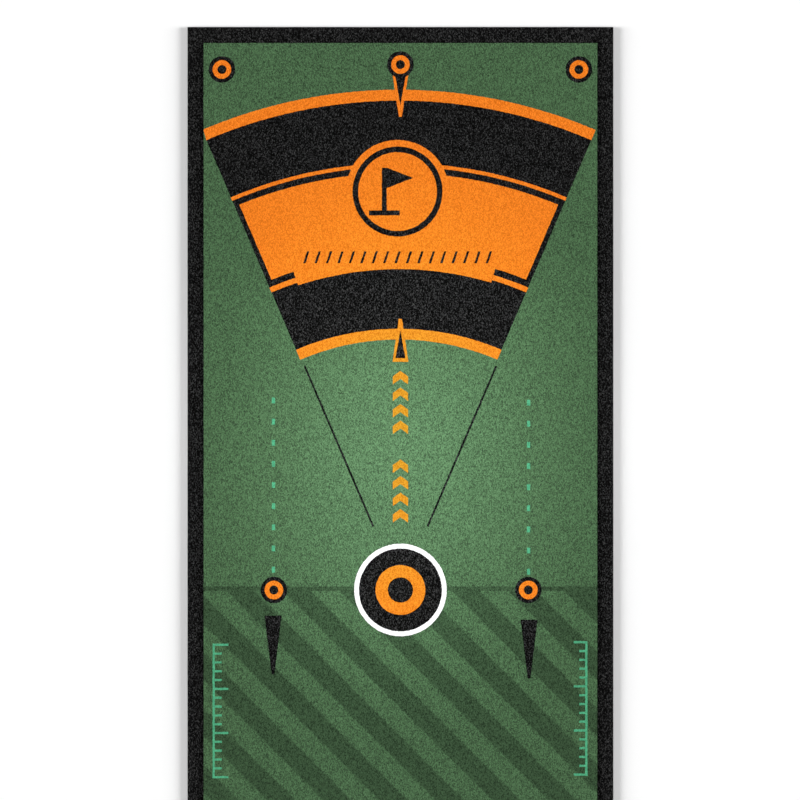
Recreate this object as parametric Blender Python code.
"""A practice putting mat: cut pile on a rubber sheet, printed with a hole target and an aiming fan.

Metres, +Z up. The origin is the middle of the mat's footprint, on the floor. +Y runs to the head
end, where the fan is, and the player putts along +Y. The print is laid out from the middle of the
hole target, so every outline below is written from there.

The pile is dyed in zones. Each zone is a solid of its own, and every zone is let into the zones
listed before it, with CLEARANCE left round it.
"""

import math

import bmesh
import bpy
from mathutils import Vector

# ---------------------------------------------------------------- driving dimensions, metres
CLEARANCE = 0.0003

MAT_WIDTH = 0.500
MAT_LENGTH = 3.000
BASE_THICKNESS = 0.0015
EDGE_WIDTH = 0.0187
EDGE_THICKNESS = 0.0018
EDGE_CHAMFER = 0.0008
CLOTH_THICKNESS = 0.0006
PILE_HEIGHT = 0.0028

HOLE_RADII = (0.0542, 0.0487, 0.0292, 0.0148)

FAN_INNER_RADIUS = 0.294
FAN_INNER_BAND_DEPTH = 0.0126
FAN_LOWER_BAND_DEPTH = 0.0733
FAN_STEP_DEPTH = 0.0033
FAN_TRIM_DEPTH = 0.0061
FAN_TAB_DEPTH = 0.0076
FAN_TAB_LENGTH_LEFT = 0.0334
FAN_TAB_LENGTH_RIGHT = 0.0444
FAN_SIDE_LINE_WIDTH = 0.0059
FAN_PANEL_DEPTH = 0.0958
FAN_TOP_LINE_DEPTH = 0.0074
FAN_TOP_TRIM_DEPTH = 0.0043
FAN_UPPER_BAND_DEPTH = 0.0733
FAN_OUTER_BAND_DEPTH = 0.0128
FAN_OFFSET_X = -0.0019  # the fan is printed a little to the left of the hole
HEAD_MARGIN = 0.0738

EMBLEM_OFFSET_X = -0.0034
EMBLEM_BELOW_PANEL_TOP = 0.0334
EMBLEM_RIM_RADIUS = 0.0605
EMBLEM_RING_RADIUS = 0.0528
EMBLEM_RING_WIDTH = 0.0066
FLAG_POLE_WIDTH = 0.0058
FLAG_HEIGHT = 0.056
FLAG_PENNANT_FLY = 0.031
FLAG_PENNANT_DROP = 0.024
FLAG_FOOT_LENGTH = 0.036
FLAG_FOOT_THICKNESS = 0.0058

NEEDLE_LENGTH = 0.0505
NEEDLE_BASE = 0.0188
NEEDLE_TIP = 0.0036
NEEDLE_CORE_START = 0.0044
NEEDLE_CORE_LENGTH = 0.0323
NEEDLE_CORE_BASE = 0.0118
HEAD_NEEDLE_BASE_BELOW_DOT = 0.0108
FIELD_NEEDLE_BASE_BELOW_FAN = 0.0262

DOT_RADII = (0.0156, 0.0109, 0.0053)
HEAD_DOT_ABOVE_FAN = 0.0296
CORNER_DOT_FROM_PILE_SIDE = 0.0215
CORNER_DOT_FROM_PILE_HEAD = 0.031
SIDE_DOT_SPACING = 0.2987
SIDE_DOT_OFFSET_X = 0.0008
START_DOT_FROM_FOOT = 0.300

SIGHT_LINE_WIDTH = 0.0024
SIGHT_LINE_START = 0.081
SIGHT_LINE_GAP_TO_FAN = 0.008
WEDGE_WIDTH = 0.0203
WEDGE_TIP = 0.0034
WEDGE_LENGTH = 0.069
LEFT_WEDGE = (-0.1495, -0.0302)
RIGHT_WEDGE = (0.151, -0.0348)

ARC_STEP = math.radians(2.0)
CIRCLE_POINTS = 56
SMALL_CIRCLE_POINTS = 28
SMALL_CIRCLE_RADIUS = 0.016
SHARPEST_CORNER = 0.05  # limits how far the clearance runs out past a pointed corner

# ---------------------------------------------------------------- sizes worked out from those
FAN_INNER_BAND_TOP = FAN_INNER_RADIUS + FAN_INNER_BAND_DEPTH
FAN_TRIM_BOTTOM = FAN_INNER_BAND_TOP + FAN_LOWER_BAND_DEPTH
FAN_PANEL_BOTTOM = FAN_TRIM_BOTTOM - FAN_STEP_DEPTH
FAN_TAB_BOTTOM = FAN_TRIM_BOTTOM + FAN_TRIM_DEPTH
FAN_TAB_TOP = FAN_TAB_BOTTOM + FAN_TAB_DEPTH
FAN_TOP_LINE_BOTTOM = FAN_TAB_TOP + FAN_PANEL_DEPTH
FAN_TOP_LINE_TOP = FAN_TOP_LINE_BOTTOM + FAN_TOP_LINE_DEPTH
FAN_PANEL_TOP = FAN_TOP_LINE_TOP + FAN_TOP_TRIM_DEPTH
FAN_UPPER_BAND_TOP = FAN_PANEL_TOP + FAN_UPPER_BAND_DEPTH
FAN_RADIUS = FAN_UPPER_BAND_TOP + FAN_OUTER_BAND_DEPTH

HOLE_FROM_HEAD = FAN_RADIUS + HEAD_MARGIN
HOLE_Y = MAT_LENGTH / 2 - HOLE_FROM_HEAD
FOOT_FROM_HOLE = -MAT_LENGTH / 2 - HOLE_Y
PILE_HALF_WIDTH = MAT_WIDTH / 2 - EDGE_WIDTH - CLEARANCE
PILE_HEAD = HOLE_FROM_HEAD - EDGE_WIDTH - CLEARANCE
PILE_FOOT = FOOT_FROM_HOLE + EDGE_WIDTH + CLEARANCE

# The fan opens until its outer corners meet the rubber edges.
FAN_HALF_ANGLE = math.asin(min(1.0, PILE_HALF_WIDTH / FAN_RADIUS))
FAN_CORNER = FAN_RADIUS * math.cos(FAN_HALF_ANGLE)
FAN_STEP_LEFT = FAN_HALF_ANGLE - FAN_TAB_LENGTH_LEFT / FAN_TAB_TOP
FAN_STEP_RIGHT = FAN_HALF_ANGLE - FAN_TAB_LENGTH_RIGHT / FAN_TAB_TOP
EMBLEM_CENTRE = (EMBLEM_OFFSET_X, FAN_PANEL_TOP - EMBLEM_BELOW_PANEL_TOP)
HEAD_DOT_FROM_HOLE = FAN_RADIUS + HEAD_DOT_ABOVE_FAN
HEAD_NEEDLE_FROM_HOLE = HEAD_DOT_FROM_HOLE - HEAD_NEEDLE_BASE_BELOW_DOT
FIELD_NEEDLE_FROM_HOLE = FAN_INNER_RADIUS - FIELD_NEEDLE_BASE_BELOW_FAN
CORNER_DOT_X = PILE_HALF_WIDTH - CORNER_DOT_FROM_PILE_SIDE
CORNER_DOT_Y = PILE_HEAD - CORNER_DOT_FROM_PILE_HEAD

LAYER_FLOOR = BASE_THICKNESS + CLEARANCE
EDGE_SPAN = (LAYER_FLOOR, LAYER_FLOOR + EDGE_THICKNESS)
CLOTH_SPAN = (LAYER_FLOOR, LAYER_FLOOR + CLOTH_THICKNESS)
PILE_FLOOR = CLOTH_SPAN[1] + CLEARANCE
PILE_SPAN = (PILE_FLOOR, PILE_FLOOR + PILE_HEIGHT)
CUTTER_OVERRUN = 0.001
CUTTER_SPAN = (PILE_SPAN[0] - CUTTER_OVERRUN, PILE_SPAN[1] + CUTTER_OVERRUN)

COLOURS = {
    "nitrile_rubber": ((0.011, 0.011, 0.012), 0.75),
    "backing_cloth": ((0.09, 0.09, 0.09), 0.95),
    "green_pile": ((0.098, 0.209, 0.104), 0.95),
    "orange_pile": ((0.93, 0.24, 0.014), 0.95),
    "black_pile": ((0.016, 0.016, 0.016), 0.95),
    "white_pile": ((0.90, 0.90, 0.90), 0.95),
}


# ---------------------------------------------------------------- outlines, from the hole's middle
def polar(radius, angle):
    """The point at a radius from the hole's middle and an angle clockwise from +Y."""
    return radius * math.sin(angle), radius * math.cos(angle)


def arc(radius, start, end):
    """Points along an arc about the hole's middle, both ends included."""
    steps = max(1, math.ceil(abs(end - start) / ARC_STEP))
    return [polar(radius, start + (end - start) * i / steps) for i in range(steps + 1)]


def band(inner, outer, half_angle=FAN_HALF_ANGLE):
    """A stretch of ring between two radii, the same to both sides of the centre line."""
    return arc(outer, -half_angle, half_angle) + arc(inner, half_angle, -half_angle)


def disc(centre, radius):
    points = SMALL_CIRCLE_POINTS if radius < SMALL_CIRCLE_RADIUS else CIRCLE_POINTS
    turns = [2 * math.pi * i / points for i in range(points)]
    return [(centre[0] + radius * math.cos(t), centre[1] + radius * math.sin(t)) for t in turns]


def rectangle(left, bottom, right, top):
    return [(left, bottom), (right, bottom), (right, top), (left, top)]


def needle(base_y, points_up):
    """The outline of an aiming needle whose base is at base_y."""
    tip_y = base_y + NEEDLE_LENGTH * (1 if points_up else -1)
    half_base, half_tip = NEEDLE_BASE / 2, NEEDLE_TIP / 2
    return [(-half_base, base_y), (half_base, base_y), (half_tip, tip_y), (-half_tip, tip_y)]


def needle_core(base_y, points_up, start):
    """The black triangle inside a needle, from a distance past the needle's base to its own tip."""
    way = 1 if points_up else -1
    tip = NEEDLE_CORE_START + NEEDLE_CORE_LENGTH
    half = NEEDLE_CORE_BASE / 2 * (tip - start) / NEEDLE_CORE_LENGTH
    foot_y = base_y + way * start
    return [(-half, foot_y), (half, foot_y), (0.0, base_y + way * tip)]


def wedge(place):
    """A blunt wedge with its base at place, pointing to the player."""
    x, y = place
    half_base, half_tip, tip_y = WEDGE_WIDTH / 2, WEDGE_TIP / 2, y - WEDGE_LENGTH
    return [(x - half_base, y), (x + half_base, y), (x + half_tip, tip_y), (x - half_tip, tip_y)]


def sight_line(side):
    """A thin line from the hole to the fan's side; side is -1 for left and 1 for right."""
    along = Vector(polar(1.0, side * FAN_HALF_ANGLE))
    across = Vector((along.y, -along.x)) * SIGHT_LINE_WIDTH / 2
    start = along * SIGHT_LINE_START
    end = along * (FAN_INNER_RADIUS - SIGHT_LINE_GAP_TO_FAN)
    corners = [start - across, start + across, end + across, end - across]
    return [tuple(corner) for corner in corners]


def panel(step_left, step_right):
    """The fan's middle panel, whose lower side steps in near both flanks."""
    low, high = FAN_PANEL_BOTTOM, FAN_TRIM_BOTTOM
    return (
        arc(FAN_PANEL_TOP, -FAN_HALF_ANGLE, FAN_HALF_ANGLE)
        + arc(high, FAN_HALF_ANGLE, step_right)
        + arc(low, step_right, -step_left)
        + arc(high, -step_left, -FAN_HALF_ANGLE)
    )


def angle_at_emblem(radius, side):
    """The angle where the circle of this radius enters the emblem's rim, from one side."""
    across, up = EMBLEM_CENTRE[0] - FAN_OFFSET_X, EMBLEM_CENTRE[1]
    away, lean = math.hypot(across, up), math.atan2(across, up)
    cosine = (radius**2 + away**2 - EMBLEM_RIM_RADIUS**2) / (2 * radius * away)
    return lean + side * math.acos(cosine)


def bracket(side, step):
    """The black line along the panel's top, down its side and back in as a short tab."""
    low, high = FAN_TOP_LINE_BOTTOM, FAN_TOP_LINE_TOP
    flank = side * FAN_HALF_ANGLE

    def inside(radius):
        return flank - side * math.asin(FAN_SIDE_LINE_WIDTH / radius)

    return (
        arc(high, angle_at_emblem(high, side), flank)
        + arc(FAN_TAB_BOTTOM, flank, side * step)
        + arc(FAN_TAB_TOP, side * step, inside(FAN_TAB_TOP))
        + arc(low, inside(low), angle_at_emblem(low, side))
    )


def placed_fan(outline):
    """A fan outline moved to its place, and kept within the pile's sides."""
    half = PILE_HALF_WIDTH
    return [(max(-half, min(half, x + FAN_OFFSET_X)), y) for x, y in outline]


def flag():
    """A plain golf flag: a pole with a pennant, standing on a short bar."""
    x, y = EMBLEM_CENTRE
    overall = FLAG_POLE_WIDTH + FLAG_PENNANT_FLY
    left = x - overall / 2
    right = left + FLAG_POLE_WIDTH
    middle = (left + right) / 2
    foot_left, foot_right = middle - FLAG_FOOT_LENGTH / 2, middle + FLAG_FOOT_LENGTH / 2
    bottom, top = y - FLAG_HEIGHT / 2, y + FLAG_HEIGHT / 2
    bar = bottom + FLAG_FOOT_THICKNESS
    return [
        (foot_left, bottom),
        (foot_right, bottom),
        (foot_right, bar),
        (right, bar),
        (right, top - FLAG_PENNANT_DROP),
        (right + FLAG_PENNANT_FLY, top - FLAG_PENNANT_DROP / 2),
        (right, top),
        (left, top),
        (left, bar),
        (foot_left, bar),
    ]


def grown(outline, distance):
    """The outline moved outwards by a distance, with its corners kept sharp."""
    area = sum(a[0] * b[1] - b[0] * a[1] for a, b in zip(outline, outline[1:] + outline[:1]))
    if area < 0:
        outline = outline[::-1]
    moved = []
    for i, point in enumerate(outline):
        here = Vector(point)
        before = (here - Vector(outline[i - 1])).normalized()
        after = (Vector(outline[(i + 1) % len(outline)]) - here).normalized()
        normal = Vector((before.y + after.y, -before.x - after.x)).normalized()
        spike = max(SHARPEST_CORNER, normal.dot(Vector((before.y, -before.x))))
        moved.append(tuple(here + normal * distance / spike))
    return moved


# ---------------------------------------------------------------- solids
def prism(name, outline, span):
    """An upright solid on an outline, from span's lower height to its upper one."""
    mesh = bpy.data.meshes.new(name)
    solid = bpy.data.objects.new(name, mesh)
    bpy.context.collection.objects.link(solid)
    bm = bmesh.new()
    ring = [bm.verts.new((x, y + HOLE_Y, span[0])) for x, y in outline]
    face = bm.faces.new(ring)
    raised = bmesh.ops.extrude_face_region(bm, geom=[face])["geom"]
    lifted = [v for v in raised if isinstance(v, bmesh.types.BMVert)]
    bmesh.ops.translate(bm, verts=lifted, vec=(0, 0, span[1] - span[0]))
    bmesh.ops.recalc_face_normals(bm, faces=bm.faces)
    bm.to_mesh(mesh)
    bm.free()
    return solid


def helper(name, outline, span):
    """A prism that only shapes others, so it isn't part of the mat."""
    solid = prism(name, outline, span)
    solid.hide_render = True
    solid.display_type = "WIRE"
    return solid


def combine(solid, other, operation):
    boolean = solid.modifiers.new(operation.lower(), "BOOLEAN")
    boolean.operation = operation
    boolean.solver = "EXACT"
    boolean.object = other


def bevel_top_outside(solid, width):
    """Chamfers the edges whose middle is on the mat's outer side, at the solid's top."""
    top = max(v.co.z for v in solid.data.vertices)
    bm = bmesh.new()
    bm.from_mesh(solid.data)
    outer = []
    for edge in bm.edges:
        middle = (edge.verts[0].co + edge.verts[1].co) / 2
        at_side = abs(abs(middle.x) - MAT_WIDTH / 2) < CLEARANCE
        at_end = abs(abs(middle.y) - MAT_LENGTH / 2) < CLEARANCE
        if middle.z > top - CLEARANCE and (at_side or at_end):
            outer.append(edge)
    bmesh.ops.bevel(bm, geom=outer, offset=width, segments=1, affect="EDGES")
    bm.to_mesh(solid.data)
    bm.free()


def material(name):
    colour, roughness = COLOURS[name]
    finish = bpy.data.materials.new(name)
    finish.use_nodes = True
    shader = finish.node_tree.nodes["Principled BSDF"]
    shader.inputs["Base Color"].default_value = (*colour, 1.0)
    shader.inputs["Roughness"].default_value = roughness
    shader.inputs["Metallic"].default_value = 0.0
    return finish


# ---------------------------------------------------------------- the rubber and the cloth
def make_rubber(finish):
    """The sheet that lies on the floor, and the four strips that frame the pile."""
    half, inner = MAT_WIDTH / 2, MAT_WIDTH / 2 - EDGE_WIDTH
    head, foot = HOLE_FROM_HEAD, FOOT_FROM_HOLE
    between = inner - CLEARANCE
    base = prism("rubber_base_sheet", rectangle(-half, foot, half, head), (0.0, BASE_THICKNESS))
    base.data.materials.append(finish)
    strips = {
        "rubber_edge_left": rectangle(-half, foot, -inner, head),
        "rubber_edge_right": rectangle(inner, foot, half, head),
        "rubber_edge_head": rectangle(-between, head - EDGE_WIDTH, between, head),
        "rubber_edge_foot": rectangle(-between, foot, between, foot + EDGE_WIDTH),
    }
    for name, outline in strips.items():
        strip = prism(name, outline, EDGE_SPAN)
        bevel_top_outside(strip, EDGE_CHAMFER)
        strip.data.materials.append(finish)


def make_cloth(finish):
    """The cloth that the pile is tufted through, under all of the pile."""
    outline = rectangle(-PILE_HALF_WIDTH, PILE_FOOT, PILE_HALF_WIDTH, PILE_HEAD)
    cloth = prism("primary_cloth", outline, CLOTH_SPAN)
    cloth.data.materials.append(finish)


# ---------------------------------------------------------------- the dyed zones of the pile
def green_zones():
    """The pile round the print, in two pieces because the fan reaches both rubber edges."""
    half, split = PILE_HALF_WIDTH, CLEARANCE / 2
    return [
        ("pile_green_field", "green_pile", [rectangle(-half, PILE_FOOT, half, FAN_CORNER - split)]),
        ("pile_green_head", "green_pile", [rectangle(-half, FAN_CORNER + split, half, PILE_HEAD)]),
    ]


def fan_zones():
    head_needle = needle(HEAD_NEEDLE_FROM_HOLE, points_up=False)
    head_core = needle_core(HEAD_NEEDLE_FROM_HOLE, points_up=False, start=0.0)
    field_needle = needle(FIELD_NEEDLE_FROM_HOLE, points_up=True)
    field_core = needle_core(FIELD_NEEDLE_FROM_HOLE, points_up=True, start=NEEDLE_CORE_START)
    inner = placed_fan(band(FAN_INNER_RADIUS, FAN_INNER_BAND_TOP))
    lower = placed_fan(band(FAN_INNER_BAND_TOP, FAN_TRIM_BOTTOM))
    middle = placed_fan(panel(FAN_STEP_LEFT, FAN_STEP_RIGHT))
    upper = placed_fan(band(FAN_PANEL_TOP, FAN_UPPER_BAND_TOP))
    outer = placed_fan(band(FAN_UPPER_BAND_TOP, FAN_RADIUS))
    left, right = (
        placed_fan(bracket(side, step)) for side, step in ((-1, FAN_STEP_LEFT), (1, FAN_STEP_RIGHT))
    )
    emblem = [
        disc(EMBLEM_CENTRE, radius)
        for radius in (EMBLEM_RIM_RADIUS, EMBLEM_RING_RADIUS, EMBLEM_RING_RADIUS - EMBLEM_RING_WIDTH)
    ]
    return [
        ("fan_upper_band_black", "black_pile", [upper]),
        ("fan_outer_band_orange", "orange_pile", [outer, head_needle]),
        ("head_needle_black", "black_pile", [head_core]),
        ("fan_lower_band_black", "black_pile", [lower]),
        ("fan_inner_band_orange", "orange_pile", [inner, field_needle]),
        ("field_needle_black", "black_pile", [field_core]),
        ("fan_panel_orange", "orange_pile", [middle, emblem[0]]),
        ("fan_bracket_left_black", "black_pile", [left]),
        ("fan_bracket_right_black", "black_pile", [right]),
        ("emblem_ring_black", "black_pile", [emblem[1]]),
        ("emblem_disc_orange", "orange_pile", [emblem[2]]),
        ("emblem_flag_black", "black_pile", [flag()]),
    ]


def ringed_zones(names, finishes, centre, radii):
    """Discs one inside the other, which leaves rings and a middle."""
    return [
        (name, finish, [disc(centre, radius)])
        for name, finish, radius in zip(names, finishes, radii)
    ]


def dot_zones():
    places = {
        "head_left": (-CORNER_DOT_X, CORNER_DOT_Y),
        "head_centre": (0.0, HEAD_DOT_FROM_HOLE),
        "head_right": (CORNER_DOT_X, CORNER_DOT_Y),
        "hole_left": (SIDE_DOT_OFFSET_X - SIDE_DOT_SPACING / 2, 0.0),
        "hole_right": (SIDE_DOT_OFFSET_X + SIDE_DOT_SPACING / 2, 0.0),
        "start": (0.0, FOOT_FROM_HOLE + START_DOT_FROM_FOOT),
    }
    finishes = ("black_pile", "orange_pile", "black_pile")
    zones = []
    for place, centre in places.items():
        names = [f"dot_{place}_{part}" for part in ("rim_black", "ring_orange", "centre_black")]
        zones += ringed_zones(names, finishes, centre, DOT_RADII)
    return zones


def hole_zones():
    names = ("hole_rim_white", "hole_ring_black", "hole_ring_orange", "hole_centre_black")
    finishes = ("white_pile", "black_pile", "orange_pile", "black_pile")
    return ringed_zones(names, finishes, (0.0, 0.0), HOLE_RADII)


def guide_zones():
    return [
        ("sight_line_left", "black_pile", [sight_line(-1)]),
        ("sight_line_right", "black_pile", [sight_line(1)]),
        ("wedge_left", "black_pile", [wedge(LEFT_WEDGE)]),
        ("wedge_right", "black_pile", [wedge(RIGHT_WEDGE)]),
    ]


def box(outline):
    """The outline's left, lower, right and upper limits."""
    xs, ys = zip(*outline)
    return min(xs), min(ys), max(xs), max(ys)


def near(outline, other):
    """True where the boxes of two outlines come within the clearance of each other."""
    a, b = box(outline), box(other)
    margin = 2 * CLEARANCE
    apart = a[0] > b[2] + margin or b[0] > a[2] + margin
    return not (apart or a[1] > b[3] + margin or b[1] > a[3] + margin)


def make_pile(finishes):
    """Builds every zone, with the zones that come after it cut out of it."""
    zones = green_zones() + guide_zones() + fan_zones() + hole_zones() + dot_zones()
    cutters = []
    for name, _, outlines in zones:
        for number, outline in enumerate(outlines):
            label = f"cutter_{name}_{number}"
            cutters.append((name, outline, helper(label, grown(outline, CLEARANCE), CUTTER_SPAN)))
    order = [zone[0] for zone in zones]
    for name, finish, outlines in zones:
        solid = prism(name, outlines[0], PILE_SPAN)
        solid.data.materials.append(finishes[finish])
        for number, outline in enumerate(outlines[1:]):
            combine(solid, helper(f"join_{name}_{number}", outline, PILE_SPAN), "UNION")
        for owner, cut_outline, cutter in cutters:
            is_later = order.index(owner) > order.index(name)
            if is_later and any(near(outline, cut_outline) for outline in outlines):
                combine(solid, cutter, "DIFFERENCE")


def main():
    for leftover in list(bpy.data.objects):
        bpy.data.objects.remove(leftover)
    finishes = {name: material(name) for name in COLOURS}
    make_rubber(finishes["nitrile_rubber"])
    make_cloth(finishes["backing_cloth"])
    make_pile(finishes)


main()
